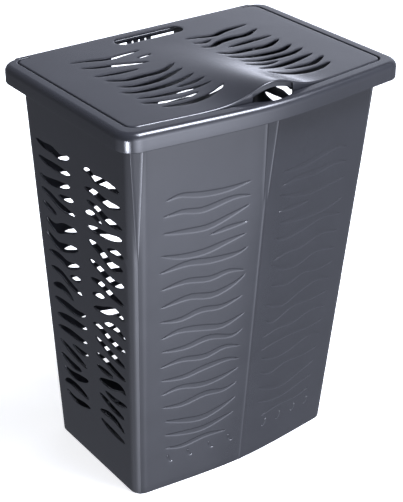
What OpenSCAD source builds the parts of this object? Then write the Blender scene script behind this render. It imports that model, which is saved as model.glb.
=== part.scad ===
// Tall slotted laundry hamper with a hinged, crested lid.
// Frame: +Z up, -Y is the front, origin at the centre of the footprint box on the floor.

/* [Tub] */
// Height of the rim's top face above the floor
rim_top = 580; // [540:5:620]
// Outside width of the walls where they meet the rim
tub_top_w = 392; // [380:1:394]
// Outside width of the walls at the floor
tub_bot_w = 335; // [320:1:360]
// Front wall's corner line at the rim, along Y
front_top_y = -126; // [-128:1:-118]
// Front wall's corner line at the floor, along Y
front_bot_y = -72; // [-90:1:-60]
// Back wall at the rim, along Y
back_top_y = 148; // [146:0.5:148]
// Back wall at the floor, along Y
back_bot_y = 140; // [130:1:144]
// How far the middle of the front stands proud of its corners, at the rim
bow_top = 18.5; // [14:0.5:18.5]
// How far the middle of the front stands proud of its corners, at the floor
bow_bot = 13; // [8:0.5:15]
// Wall thickness
wall = 2.5; // [2:0.1:3]
// Thickness of the floor panel
floor_t = 3; // [2:0.5:4]
// Gap under the floor panel
floor_gap = 5; // [3:1:8]

/* [Rim] */
// Width of the ledge round the lid
ledge = 20.5; // [19:0.5:20.5]
// Depth of the rim's skirt
rim_drop = 24; // [20:1:28]
// Radius of the rim's corners in plan
rim_r = 26; // [24:1:30]

/* [Lid] */
// Half the lid's width
lid_hw = 195; // [195:0.5:195.5]
// Gap between lid and rim
seam = 1.8; // [1:0.1:2.2]
// Thickness of the lid's skin
lid_t = 2.5; // [2:0.1:3]
// Height of the crest at the front edge
crest_h = 20; // [12:1:26]
// Spread of the crest sideways
crest_w = 45; // [38:1:50]
// Half the width of the finger opening
finger_hw = 31; // [24:1:32]

/* [Hinge] */
// Hinge axis, along Y
hinge_y = 157; // [156.6:0.1:157.4]
// Depth of the hinge axis below the rim's top face, which is also the radius of the rolled edge
hinge_drop = 3; // [2.8:0.1:3.2]
// Radius of the hinge pins
pin_r = 1.6; // [1.4:0.1:1.8]
// Half the length of the lid's rolled rear edge
barrel_hw = 174; // [170:1:175]

/* [Slots] */
// Greatest height of a slot in the walls
slot_t = 11; // [8:0.5:13]
// Greatest height of a slot in the lid
lid_slot_t = 8.5; // [5:0.5:10]

/* [Hidden] */
grey = [0.33, 0.335, 0.37];
H = rim_top;
hinge_z = H - hinge_drop;
shelf_z = H - 6;
recess_z = H - 8.5; // floor of the finger recess
lid_f = -122;          // lid's front corner line
lid_b = 150;           // lid's back line outside the rolled edge
NF = 12;               // steps along the bowed front
NC = 6;                // steps round a corner

function lerp(a, b, t) = a + (b - a) * t;
function bow(u, b, c) = b * (1 - (sqrt(u*u + c*c) - c) / (sqrt(1 + c*c) - c));
function spread(t) = sign(t) * pow(abs(t), 1.5);

// plan outline: half width a, front corner line f, back line k, corner radius r, bow b, nose sharpness c, inset d
function outline(a, f, k, r, b, c, d = 0) =
    let (A = a - d, F = f + d, K = k - d, R = max(r - d, 1), w = A - R)
    concat(
        [for (i = [0 : NF]) let (t = 2 * i / NF - 1, u = spread(t)) [w * u, F - bow(u, b, c)]],
        [for (i = [1 : NC]) let (q = -90 + 90 * i / NC) [w + R * cos(q), F + R + R * sin(q)]],
        [for (i = [0 : NC]) let (q = 90 * i / NC) [w + R * cos(q), K - R + R * sin(q)]],
        [for (i = [0 : NC]) let (q = 90 + 90 * i / NC) [-w + R * cos(q), K - R + R * sin(q)]],
        [for (i = [0 : NC - 1]) let (q = 180 + 90 * i / NC) [-w + R * cos(q), F + R + R * sin(q)]]);

// the walls' outline at height z
function tub_ring(z, d) = let (t = z / H)
    [for (p = outline(lerp(tub_bot_w, tub_top_w, t) / 2, lerp(front_bot_y, front_top_y, t), lerp(back_bot_y, back_top_y, t),
        lerp(18, 22, t), lerp(bow_bot, bow_top, t), lerp(0.45, 0.12, t), d)) [p[0], p[1], z]];
// the rim's outline at height z
function rim_ring(z, d) =
    [for (p = outline(lid_hw + ledge, lid_f - ledge, 161, rim_r, bow_top, 0.3, d)) [p[0], p[1], z]];
function lid_outline(d) = outline(lid_hw, lid_f, lid_b, 13, bow_top, 0.3, d);

// closed solid through rings of equal length, lowest first
module loft(rings) {
    n = len(rings[0]);
    m = len(rings);
    pts = [for (r = rings) each r];
    sides = [for (j = [0 : m - 2]) for (i = [0 : n - 1]) let (k = (i + 1) % n)
        each [[j*n + i, (j+1)*n + k, j*n + k], [j*n + i, (j+1)*n + i, (j+1)*n + k]]];
    polyhedron(points = pts, faces = concat([[for (i = [0 : n - 1]) i]], sides, [[for (i = [0 : n - 1]) m*n - 1 - i]]));
}

// wavy slot: control points of its centre line, greatest thickness
function cr(a, b, c, d, t) = 0.5 * (2*b + (c - a)*t + (2*a - 5*b + 4*c - d)*t*t + (3*b - a - 3*c + d)*t*t*t);
function line(P, m) = let (n = len(P) - 1)
    concat([for (i = [0 : n - 1]) for (j = [0 : m - 1])
        cr(P[max(i - 1, 0)], P[i], P[i + 1], P[min(i + 2, n)], j / m)], [P[n]]);
function slot_pts(P, T, m = 2) =
    let (L = line(P, m), n = len(L) - 1,
         h = [for (i = [0 : n]) T / 2 * (0.32 + 0.68 * pow(sin(180 * i / n), 0.8))])
    concat([for (i = [0 : n]) [L[i][0], L[i][1] + h[i]]], [for (i = [n : -1 : 0]) [L[i][0], L[i][1] - h[i]]]);

// side wall slots, [y, z]: rear column, then front column
side_rear = [
    [[114,483],[95,480],[72,481],[55,477],[31,485]],
    [[112,459],[90,457],[60,458],[31,459]],
    [[114,432],[97,429],[70,433],[37,441]],
    [[68,417],[50,419],[31,423]],
    [[113,412],[90,408],[68,402],[31,401]],
    [[113,391],[95,387],[80,384]],
    [[110,367],[85,361],[60,371],[30,378]],
    [[114,346],[85,335],[65,339],[31,350]],
    [[111,316],[85,317],[62,314],[31,324]],
    [[60,297],[45,300],[31,303]],
    [[110,291],[85,291],[60,283],[31,279]],
    [[110,262],[88,268],[72,266],[57,260]],
    [[110,241],[85,242],[50,243],[28,250]],
    [[107,215],[85,219],[50,224],[28,228]],
    [[109,194],[80,198],[50,200],[31,203]],
    [[72,180],[50,179],[31,183]],
    [[107,172],[80,165],[50,160],[38,158]],
    [[109,147],[80,142],[55,144]],
    [[104,126],[80,124],[56,130],[38,136]],
    [[107,100],[92,106],[68,106],[42,103]],
    [[104,85],[80,80],[56,85],[40,88]]];
side_front = [
    [[-2,482],[-16,485],[-30,479],[-52,482],[-87,482]],
    [[-3,457],[-28,458],[-58,455],[-86,460]],
    [[-6,440],[-28,437],[-55,430],[-87,431]],
    [[3,419],[-15,424],[-37,418]],
    [[-1,400],[-22,403],[-52,407],[-83,415]],
    [[-46,386],[-67,390],[-85,389]],
    [[0,379],[-22,377],[-52,365],[-80,370]],
    [[2,350],[-22,346],[-52,340],[-79,346]],
    [[2,322],[-22,323],[-40,319],[-76,316]],
    [[2,298],[-14,302],[-28,305]],
    [[2,277],[-22,283],[-52,295],[-74,292]],
    [[-19,262],[-50,268],[-73,262]],
    [[8,249],[-10,249],[-40,241],[-70,241]],
    [[5,228],[-16,223],[-40,218],[-67,215]],
    [[7,200],[-16,200],[-40,195],[-65,193]],
    [[8,180],[-10,180],[-33,181]],
    [[5,158],[-22,164],[-49,173],[-62,169]],
    [[-8,145],[-33,143],[-62,149]],
    [[8,133],[-10,129],[-28,125],[-53,123]],
    [[11,103],[-16,108],[-33,106],[-50,98]],
    [[11,88],[-10,83],[-49,80]]];
// back wall slots, left column, [x, z]
back_left = [
    [[-144,472],[-110,468],[-70,474],[-20,470]],
    [[-144,450],[-110,446],[-70,451],[-22,447]],
    [[-144,431],[-120,425],[-85,428],[-50,421],[-20,426]],
    [[-144,408],[-120,402],[-90,404],[-50,399],[-20,404]],
    [[-143,387],[-120,382],[-90,384],[-55,388],[-20,380]],
    [[-142,366],[-118,360],[-95,363],[-72,369],[-45,362],[-20,358]],
    [[-140,342],[-118,336],[-95,334],[-70,340],[-45,331],[-18,336]],
    [[-140,318],[-118,313],[-95,310],[-70,311],[-45,305],[-20,310]],
    [[-142,291],[-110,286],[-80,289],[-48,274],[-25,272]],
    [[-138,261],[-110,256],[-78,260],[-50,255],[-24,250]],
    [[-136,240],[-108,234],[-85,240],[-60,238],[-25,228]],
    [[-132,213],[-105,208],[-80,215],[-55,217],[-22,208]],
    [[-130,193],[-105,198],[-80,194],[-50,199],[-22,190]],
    [[-128,170],[-95,167],[-75,163],[-52,160],[-22,166]],
    [[-126,150],[-98,147],[-75,142],[-45,146],[-22,142]],
    [[-124,126],[-95,124],[-78,123],[-58,128],[-24,122]],
    [[-120,103],[-95,102],[-70,103],[-45,106],[-22,100]],
    [[-118,85],[-90,83],[-68,82],[-48,85],[-24,80]]];
// lid slots, [x, y]: left group, then right group
lid_left = [
    [[-143,100],[-120,95],[-95,86],[-70,88],[-42,90]],
    [[-142,77],[-125,69],[-100,62],[-78,54],[-56,47]],
    [[-62,66],[-50,68],[-38,70]],
    [[-143,42],[-120,37],[-82,33]],
    [[-139,23],[-117,10],[-90,9],[-62,9],[-34,22]],
    [[-137,-4],[-115,-14],[-80,-13],[-37,0]],
    [[-145,-22],[-126,-32],[-95,-35],[-64,-32],[-37,-25]],
    [[-78,-48],[-55,-48],[-35,-45]],
    [[-139,-49],[-117,-56],[-90,-60],[-60,-63],[-38,-64]],
    [[-143,-64],[-123,-74],[-95,-80],[-67,-77]],
    [[-128,-89],[-100,-96],[-75,-96],[-52,-92],[-34,-84]]];
lid_right = [
    [[30,89],[49,85],[71,79],[95,86],[135,90]],
    [[30,69],[43,64],[58,68]],
    [[28,50],[43,45],[61,53],[85,57],[108,56],[135,67]],
    [[58,29],[92,32],[134,34]],
    [[31,19],[47,8],[74,7],[105,5],[134,17]],
    [[32,-3],[49,-13],[74,-18],[108,-19],[135,-8]],
    [[35,-27],[60,-36],[92,-37],[114,-36],[138,-28]],
    [[32,-43],[52,-51],[80,-49]],
    [[35,-66],[60,-66],[92,-61],[135,-52]],
    [[67,-79],[92,-81],[114,-80],[141,-67]],
    [[35,-84],[58,-96],[86,-99],[111,-97],[134,-89]]];

module side_slots() {
    for (P = concat(side_rear, side_front))
        translate([-230, 0, 0]) rotate([90, 0, 90]) linear_extrude(460) polygon(slot_pts([for (p = P) [p[0], p[1] * H / 580]], slot_t));
}
// the back wall has the same kind of slots in two columns, the right one mirrored from the left
module back_slots() {
    for (k = [-1, 1]) for (P = back_left)
        translate([0, 170, 0]) rotate([90, 0, 0]) linear_extrude(60)
            polygon(slot_pts([for (i = [0 : len(P) - 1]) let (p = P[k < 0 ? i : len(P) - 1 - i]) [-k * p[0], p[1] * H / 580]], slot_t));
}
// hand grip through the back wall, and above it a narrow window with four ribs left standing
module rear_grip() {
    translate([0, 170, H - 33]) rotate([90, 0, 0]) linear_extrude(40) union() {
        for (x = [-41, 41]) translate([x, 0]) circle(r = 12, $fn = 48);
        translate([-41, -12]) square([82, 24]);
    }
    difference() {
        translate([-52, 140, H - 13.5]) cube([104, 9.5, 5]);
        for (x = [-22, -11.5, -1, 9.5]) translate([x - 3.6, 139, H - 15]) cube([7.2, 12, 8]);
    }
}

// recess for fingers in the front of the rim, grown by g
module recess(g, z0, h) {
    intersection() {
        translate([0, -95.9, z0]) cylinder(r = 54.9 + g, h = h, $fn = 120);
        translate([-finger_hw - g, -170, z0]) cube([2 * (finger_hw + g), 60, h]);
    }
}

module tub() {
    // rail on the back wall that closes the gap under the lid
    color(grey) translate([-168, 144.2, shelf_z - 0.3]) cube([336, 2.4, H - 3 - shelf_z + 0.3]);
    color(grey) difference() {
        union() {
            recess(wall, recess_z - wall, H - 1 - recess_z + wall);
            difference() {
                loft([rim_ring(H - rim_drop, 0), rim_ring(H - 9, 0), rim_ring(H - 5, 1.2), rim_ring(H - 2, 4), rim_ring(H, 9)]);
                loft([rim_ring(H - rim_drop - 1, wall), rim_ring(H - 9, wall), rim_ring(H - 6, wall + 1.2), rim_ring(H - wall, 9)]);
            }
            loft([tub_ring(0, 0), tub_ring(H - 5, 0)]);
            // step from the walls up to the ledge
            translate([0, 0, shelf_z - wall]) linear_extrude(wall + 4.5) polygon(lid_outline(-seam - wall));
            // blocks at the rear corners that hold the hinge pins
            for (s = [-1, 1]) intersection() {
                loft([rim_ring(H - 14, 0), rim_ring(H - 9, 0), rim_ring(H - 5, 1.2), rim_ring(H - 2, 4), rim_ring(H, 9)]);
                translate([s > 0 ? barrel_hw + 0.6 : -194, 146, H - 14]) cube([193.4 - barrel_hw, 20, 14]);
            }
            for (s = [-1, 1]) translate([s > 0 ? barrel_hw + 0.6 : -194, hinge_y, hinge_z]) rotate([0, 90, 0]) cylinder(r = hinge_drop, h = 193.4 - barrel_hw, $fn = 48);
        }
        // inside of the tub, and the hollow under its floor
        loft([tub_ring(floor_gap + floor_t, wall), tub_ring(H + 2, wall)]);
        loft([tub_ring(-1, wall + 0.5), tub_ring(floor_gap, wall + 0.5)]);
        // seat for the lid
        translate([0, 0, shelf_z]) linear_extrude(20) polygon(lid_outline(-seam));
        // the rim is open along the back, where the lid's rolled edge lies
        translate([-barrel_hw - 0.6, 148.2, H - rim_drop - 2]) cube([2 * barrel_hw + 1.2, 20, 40]);
        // blind bores for the hinge pins
        for (s = [-1, 1]) translate([s > 0 ? barrel_hw : -187, hinge_y, hinge_z]) rotate([0, 90, 0]) cylinder(r = pin_r + 0.05, h = 187 - barrel_hw, $fn = 48);
        recess(0, recess_z, 20);
        side_slots();
        back_slots();
        rear_grip();
    }
}

// crest of the lid above the rim's top face
function crest(x, y) = (y < 95 ? crest_h * pow((95 - y) / 235.5, 2) : 0) * exp(-pow(x / crest_w, 2));
gx = [-215, -115, -90, -70, -55, -42, -30, -20, -10, 0, 10, 20, 30, 42, 55, 70, 90, 115, 215];
gy = [-150, -138, -122, -100, -75, -50, -25, 0, 30, 60, 95, 170];
// solid from height z0 up to the lid's surface lowered by d
module under_lid(z0, d) {
    n = len(gx);
    m = len(gy);
    function id(i, j) = j * n + i;
    top = [for (y = gy) for (x = gx) [x, y, H + (abs(x) > 110 ? 0 : crest(x, y)) - d]];
    bot = [for (y = gy) for (x = gx) [x, y, z0]];
    q = n * m;
    polyhedron(points = concat(top, bot), faces = concat(
        [for (j = [0 : m - 2]) for (i = [0 : n - 2]) each [[id(i, j), id(i, j + 1), id(i + 1, j + 1)], [id(i, j), id(i + 1, j + 1), id(i + 1, j)]]],
        [for (j = [0 : m - 2]) for (i = [0 : n - 2]) each [[q + id(i, j), q + id(i + 1, j + 1), q + id(i, j + 1)], [q + id(i, j), q + id(i + 1, j), q + id(i + 1, j + 1)]]],
        [for (i = [0 : n - 2]) each [[id(i, 0), id(i + 1, 0), q + id(i + 1, 0)], [id(i, 0), q + id(i + 1, 0), q + id(i, 0)]]],
        [for (i = [0 : n - 2]) each [[id(i, m - 1), q + id(i + 1, m - 1), id(i + 1, m - 1)], [id(i, m - 1), q + id(i, m - 1), q + id(i + 1, m - 1)]]],
        [for (j = [0 : m - 2]) each [[id(0, j), q + id(0, j + 1), id(0, j + 1)], [id(0, j), q + id(0, j), q + id(0, j + 1)]]],
        [for (j = [0 : m - 2]) each [[id(n - 1, j), id(n - 1, j + 1), q + id(n - 1, j + 1)], [id(n - 1, j), q + id(n - 1, j + 1), q + id(n - 1, j)]]]));
}

module lid() {
    color(grey) difference() {
        union() {
            difference() {
                intersection() {
                    under_lid(shelf_z + 0.3, 0);
                    translate([0, 0, H - 30]) linear_extrude(80) polygon(lid_outline(0));
                }
                intersection() {
                    under_lid(H - 20, lid_t);
                    translate([0, 0, H - 30]) linear_extrude(80) union() {
                        polygon(lid_outline(lid_t));
                        translate([-finger_hw, -160]) square([2 * finger_hw, 60]);
                    }
                }
            }
            // flange under the lip of the finger opening
            difference() {
                intersection() {
                    under_lid(H - 4, 1);
                    translate([-finger_hw - 1, -138.4, H - 4]) cube([2 * finger_hw + 2, 2.2, 40]);
                }
                under_lid(H - 20, 9);
            }
            // rolled rear edge that takes the hinge pins
            translate([-barrel_hw, hinge_y, hinge_z]) rotate([0, 90, 0]) cylinder(r = hinge_drop, h = 2 * barrel_hw, $fn = 48);
            translate([-barrel_hw, lid_b - 2, H - lid_t]) cube([2 * barrel_hw, hinge_y - lid_b + 2, lid_t]);
        }
        for (s = [-1, 1]) translate([s > 0 ? barrel_hw - 18 : -barrel_hw - 1, hinge_y, hinge_z]) rotate([0, 90, 0]) cylinder(r = pin_r, h = 19, $fn = 48);
        // rear grip slot
        translate([-40.5, 0, H - 20]) linear_extrude(40) union() {
            for (s = [0, 81]) translate([s, 131.5]) circle(r = 13, $fn = 48);
            translate([0, 118.5]) square([81, 26]);
        }
        for (P = concat(lid_left, lid_right))
            translate([0, 0, H - 10]) linear_extrude(60) polygon(slot_pts(P, lid_slot_t));
    }
}

module hinge_pin(s) {
    color([0.25, 0.25, 0.28]) translate([s > 0 ? barrel_hw - 18 : -barrel_hw - 12, hinge_y, hinge_z]) rotate([0, 90, 0]) cylinder(r = pin_r, h = 30, $fn = 48);
}

tub();
lid();
hinge_pin(-1);  // hinge_pin_left
hinge_pin(1);  // hinge_pin_right
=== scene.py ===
"""Laundry hamper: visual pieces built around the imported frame. All shape numbers are in millimetres, meshes in metres."""
import bpy
import bmesh
import math
import numpy as np
from mathutils import Matrix, Vector
from mathutils.geometry import delaunay_2d_cdt


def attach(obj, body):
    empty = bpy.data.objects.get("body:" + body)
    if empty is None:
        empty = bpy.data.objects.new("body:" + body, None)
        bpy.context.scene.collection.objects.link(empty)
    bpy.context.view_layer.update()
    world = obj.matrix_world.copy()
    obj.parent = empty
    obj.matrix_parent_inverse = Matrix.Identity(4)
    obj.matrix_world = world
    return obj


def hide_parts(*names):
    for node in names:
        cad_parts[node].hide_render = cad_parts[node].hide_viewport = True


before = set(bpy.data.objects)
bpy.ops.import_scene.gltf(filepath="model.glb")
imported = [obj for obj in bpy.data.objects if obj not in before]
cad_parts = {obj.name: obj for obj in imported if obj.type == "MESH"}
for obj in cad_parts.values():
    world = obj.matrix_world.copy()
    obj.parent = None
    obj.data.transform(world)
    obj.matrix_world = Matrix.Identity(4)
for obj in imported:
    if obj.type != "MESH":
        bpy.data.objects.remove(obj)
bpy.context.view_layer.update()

# ---------------------------------------------------------------- camera
AZ, EL = math.radians(35.785), math.radians(28.46)
cam_data = bpy.data.cameras.new("camera")
cam = bpy.data.objects.new("camera", cam_data)
bpy.context.scene.collection.objects.link(cam)
fw = Vector((math.sin(AZ) * math.cos(EL), math.cos(AZ) * math.cos(EL), -math.sin(EL)))
cam.matrix_world = Matrix.Translation((-0.9656, -1.3305, 1.1957)) @ fw.to_track_quat("-Z", "Y").to_matrix().to_4x4()
cam_data.lens = 96.9
cam_data.sensor_width = 36
cam_data.clip_end = 60
bpy.context.scene.camera = cam

# ---------------------------------------------------------------- shape rules
H = 580.0
WALL = 2.5
SHELF = 574.0
SEAM = 1.8
TOPZ = 571.5            # where the wall sheet hands over to the rim
BOTZ = 1.2              # where the wall sheet hands over to the bottom edge
PIN_Y, PIN_Z = 157.0, 577.0


def lerp(a, b, t):
    return a + (b - a) * t


def smooth(a, b, x):
    t = np.clip((np.asarray(x, float) - a) / (b - a), 0, 1)
    return t * t * (3 - 2 * t)


def hyper(w, c):
    """1 at w = 0, 0 at w = 1; c is how blunt the middle is."""
    return 1 - (np.sqrt(w * w + c * c) - c) / (np.sqrt(1 + c * c) - c)


def outline_pt(seg, t, A, F, K, R, B, c, d=0.0, xend=None):
    """Plan point of a rounded box with a bowed front. seg 0 front, 1 front right corner, 2 right, 3 rear right corner, 4 back, 5 rear left corner, 6 left, 7 front left corner."""
    A, F, K, R = A - d, F + d, K - d, max(R - d, 0.8)
    w = A - R
    xe = w if xend is None else xend
    if seg == 0:
        return (w * t, F - B * float(hyper(t, c)))
    if seg in (1, 7):
        q = math.radians(-90 + 90 * (t if seg == 1 else 1 - t))
        x, y = w + R * math.cos(q), F + R + R * math.sin(q)
        return (x, y) if seg == 1 else (-x, y)
    if seg == 2:
        return (A, lerp(F + R, K - R, t))
    if seg == 6:
        return (-A, lerp(K - R, F + R, t))
    if seg in (3, 5):
        f = t if seg == 3 else 1 - t
        la, lb = R * math.pi / 2, w - xe
        p = f * (la + lb)
        if p <= la:
            x, y = w + R * math.cos(p / R), K - R + R * math.sin(p / R)
        else:
            x, y = w - (p - la), K
        return (x, y) if seg == 3 else (-x, y)
    return (lerp(xe, -xe, t), K)


NF, NS, NR, NB = 72, 12, 11, 16
CORNER_T = [0, 0.09, 0.18, 0.26, 0.32, 0.352, 0.37, 0.38, 0.39, 0.408, 0.44, 0.48, 0.5, 0.52, 0.56, 0.592, 0.61, 0.62, 0.63, 0.648, 0.68, 0.74, 0.82, 0.91, 1]
NC = len(CORNER_T) - 1
FRONT_T = [math.copysign(abs(v) ** 1.5, v) for v in np.linspace(-1, 1, NF + 1)]
STATIONS = ([(0, t) for t in FRONT_T] + [(1, t) for t in CORNER_T[1:]] + [(2, (i + 1) / NS) for i in range(NS)]
            + [(3, (i + 1) / NR) for i in range(NR)] + [(4, (i + 1) / NB) for i in range(NB)] + [(5, (i + 1) / NR) for i in range(NR)]
            + [(6, (i + 1) / NS) for i in range(NS)] + [(7, t) for t in CORNER_T[1:-1]])
NSTA = len(STATIONS)
I_BACK0 = NF + NC + NS + NR            # station at the start of the back
I_BACK1 = I_BACK0 + NB                 # and at its end


def rim_ring(z, d):
    return [(*outline_pt(s, t, 215.5, -142.5, 161, 26, 18.5, 0.3, d, xend=174.6), z) for s, t in STATIONS]


def seat_ring(z, d):
    return [(*outline_pt(s, t, 195, -122, 150, 13, 18.5, 0.3, d, xend=174.6), z) for s, t in STATIONS]


# ---- wall surface: s runs round the wall in nominal millimetres, z is height
SEG_LEN = [320.0, 32.0, 200.0, 32.0, 320.0, 32.0, 200.0, 32.0]
SEG_AT = np.concatenate([[0], np.cumsum(SEG_LEN)])
PERIM = float(SEG_AT[-1])
U0 = 0.055              # share of the front on each side of the middle that the crease takes


def crease_edges(z):
    """x of the crease's left and right edges."""
    k = smooth(428, 560, z) * 0.0 + np.clip((np.asarray(z, float) - 428) / 132, 0, 1)
    return -3.0 - 6.0 * k, 3.0 + 7.0 * k


def wall_dims(z):
    t = np.asarray(z, float) / H
    return (lerp(167.5, 196.0, t), lerp(-72.0, -126.0, t), lerp(140.0, 148.0, t), lerp(18.0, 22.0, t), lerp(13.0, 18.5, t),
            lerp(0.42, 0.07, np.clip(t * 1.25, 0, 1)))


def front_y(x, z, d=0.0):
    """y of the front wall: two nearly flat panels that meet in a crease with a narrow facet at its top."""
    A, F, K, R, B, c = wall_dims(z)
    w = A - R
    xl, xr = crease_edges(z)
    y = F + d - B * hyper(np.clip(np.abs(x) / w, 0, 1), c)
    yl, yr = F + d - B * hyper(np.abs(xl) / w, c), F + d - B * hyper(np.abs(xr) / w, c)
    chord = lerp(yl, yr, (x - xl) / (xr - xl))
    k = smooth(426, 450, z)
    inside = (x > xl) & (x < xr)
    y = np.where(inside, lerp(y, chord, k), y)
    # fine raised edges beside the facet
    bead = 0.35 * k * (np.exp(-((x - xl) / 1.0) ** 2) + np.exp(-((x - xr) / 1.0) ** 2))
    ridge = 0.5 * (1 - k) * np.exp(-((x - (xl + xr) / 2) / 2.0) ** 2)
    return y - bead - ridge


def front_x(u, z):
    """x on the front for a share u of the half width."""
    A, F, K, R, B, c = wall_dims(z)
    w = A - R
    xl, xr = crease_edges(z)
    u = np.asarray(u, float)
    mid = lerp(xl, xr, (u + U0) / (2 * U0))
    right = xr + (w - xr) * (u - U0) / (1 - U0)
    left = xl - (w + xl) * (-u - U0) / (1 - U0)
    return np.where(u > U0, right, np.where(u < -U0, left, mid))


def front_u(x, z):
    A, F, K, R, B, c = wall_dims(z)
    w = A - R
    xl, xr = crease_edges(z)
    x = np.asarray(x, float)
    mid = (x - xl) / (xr - xl) * 2 * U0 - U0
    right = U0 + (x - xr) / (w - xr) * (1 - U0)
    left = -U0 - (xl - x) / (w + xl) * (1 - U0)
    return np.where(x > xr, right, np.where(x < xl, left, mid))


CB = 0.12               # share of the corner arc, either side of its middle, that the facet takes


def facet_half(z):
    """Half the angle in plan that the corner facet takes; it tapers down to a line at z 392."""
    k = np.clip((np.asarray(z, float) - 392.0) / 180.0, 0, 1)
    return math.radians(1.6) + math.radians(21.5) * k ** 0.85


TURN = math.radians(-9)   # the facet's middle lies this much nearer the front than the corner's middle


def corner_angle(f, z):
    """Angle in plan, from the corner's middle, for a share f of the arc."""
    h = facet_half(z)
    g = np.asarray(f, float) - 0.5
    t = (np.abs(g) - CB) / (0.5 - CB)
    side = np.where(g > 0, lerp(TURN + h, math.pi / 4, t), lerp(TURN - h, -math.pi / 4, t))
    return np.where(np.abs(g) < CB, TURN + g / CB * h, side)


def corner_cut(q45, R, z):
    """Radius of the front corners in plan: a tall flat facet takes the corner off above mid height."""
    h = facet_half(z)
    q45 = q45 - TURN
    k = np.clip((z - 392.0) / 30.0, 0, 1)
    flat = R * np.cos(h) / np.maximum(np.cos(q45), 0.3)
    r = np.where(np.abs(q45) < h, lerp(R, flat, k), R)
    a = (np.abs(q45) - h) * R
    bead = 0.3 * np.exp(-(a / 1.2) ** 2) * np.clip((z - 386.0) / 20.0, 0, 1)
    ridge = 0.4 * np.exp(-(q45 * R / 1.7) ** 2) * np.clip((402.0 - z) / 20.0, 0, 1)
    return r + bead + ridge


def wall_pt(s, z, d):
    """Points of the wall, inset by d. Arrays in, (n, 3) array out."""
    s = np.asarray(s, float)
    z = np.asarray(z, float)
    d = np.broadcast_to(np.asarray(d, float), s.shape)
    A, F, K, R, B, c = wall_dims(z)
    w = A - R
    x = np.zeros_like(s)
    y = np.zeros_like(s)
    seg = np.clip(np.searchsorted(SEG_AT, s, side="right") - 1, 0, 7)
    t = (s - SEG_AT[seg]) / np.asarray(SEG_LEN)[seg]
    m = seg == 0
    if m.any():
        xx = front_x(2 * t[m] - 1, z[m])
        x[m] = xx
        y[m] = front_y(xx, z[m]) + d[m]
    for sg, sx in ((1, 1), (7, -1)):
        m = seg == sg
        if m.any():
            f = t[m] if sg == 1 else 1 - t[m]
            qc = corner_angle(f, z[m])
            q = qc - math.pi / 4
            r = corner_cut(qc, R[m], z[m]) - d[m]
            x[m] = sx * (w[m] + r * np.cos(q))
            y[m] = F[m] + R[m] + r * np.sin(q)
    for sg, sx in ((2, 1), (6, -1)):
        m = seg == sg
        if m.any():
            f = t[m] if sg == 2 else 1 - t[m]
            x[m] = sx * (A[m] - d[m])
            y[m] = lerp(F[m] + R[m], K[m] - R[m], f)
    for sg, sx in ((3, 1), (5, -1)):
        m = seg == sg
        if m.any():
            f = t[m] if sg == 3 else 1 - t[m]
            q = np.radians(90 * f)
            r = R[m] - d[m]
            x[m] = sx * (w[m] + r * np.cos(q))
            y[m] = K[m] - R[m] + r * np.sin(q)
    m = seg == 4
    if m.any():
        x[m] = lerp(w[m], -w[m], t[m])
        y[m] = K[m] - d[m]
    return np.stack([x, y, z], 1)


def station_s(seg, t):
    if seg == 0:
        return SEG_AT[0] + SEG_LEN[0] * (t + 1) / 2
    return SEG_AT[seg] + SEG_LEN[seg] * t


S_STA = np.array([station_s(s, t) for s, t in STATIONS])


def wall_ring(z, d):
    return wall_pt(S_STA, np.full(NSTA, float(z)), d)


def s_side(y, z, left):
    A, F, K, R, B, c = wall_dims(z)
    t = (y - (F + R)) / (K - F - 2 * R)
    return SEG_AT[6] + 200 * (1 - t) if left else SEG_AT[2] + 200 * t


def s_back(x, z):
    A, F, K, R, B, c = wall_dims(z)
    return SEG_AT[4] + 320 * (1 - x / (A - R)) / 2


def s_front(x, z):
    return 320 * (front_u(x, z) + 1) / 2


# ---------------------------------------------------------------- slot shapes
def centre_line(P, n):
    """Smooth line through the control points, resampled evenly: n + 1 points and their normals."""
    P = np.array(P, float)
    Q = np.vstack([2 * P[0] - P[1], P, 2 * P[-1] - P[-2]])
    pts = []
    for i in range(1, len(Q) - 2):
        for j in range(12):
            t = j / 12
            a, b, c, e = Q[i - 1], Q[i], Q[i + 1], Q[i + 2]
            pts.append(0.5 * (2 * b + (c - a) * t + (2 * a - 5 * b + 4 * c - e) * t * t + (3 * b - a - 3 * c + e) * t ** 3))
    pts.append(Q[-2])
    pts = np.array(pts)
    L = np.concatenate([[0], np.cumsum(np.linalg.norm(np.diff(pts, axis=0), axis=1))])
    u = (1 - np.cos(np.linspace(0, math.pi, n + 1))) / 2
    u = 0.45 * u + 0.55 * np.linspace(0, 1, n + 1)
    c = np.stack([np.interp(u * L[-1], L, pts[:, k]) for k in (0, 1)], 1)
    tan = np.gradient(c, axis=0)
    tan /= np.linalg.norm(tan, axis=1)[:, None]
    return c, tan, u, L[-1]


def slot_outline(P, T, grow=0.0, n=14, up=1.0, down=1.0, blunt=0.7, tip=0.0):
    """Outline of a wavy slot, pointed at its ends. T is its greatest width; up and down share it about the centre line."""
    c, tan, u, L = centre_line(P, n)
    nrm = np.stack([-tan[:, 1], tan[:, 0]], 1)
    h = T / 2 * (tip + (1 - tip) * np.sin(np.pi * u) ** blunt)
    top = c + nrm * (h * up + grow)[:, None]
    bot = c - nrm * (h * down + grow)[:, None]
    tip0 = c[0] - tan[0] * (grow + 0.2 + T * tip * 0.3)
    tip1 = c[-1] + tan[-1] * (grow + 0.2 + T * tip * 0.3)
    return np.vstack([[tip0], top[1:-1], [tip1], bot[1:-1][::-1]])


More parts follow.
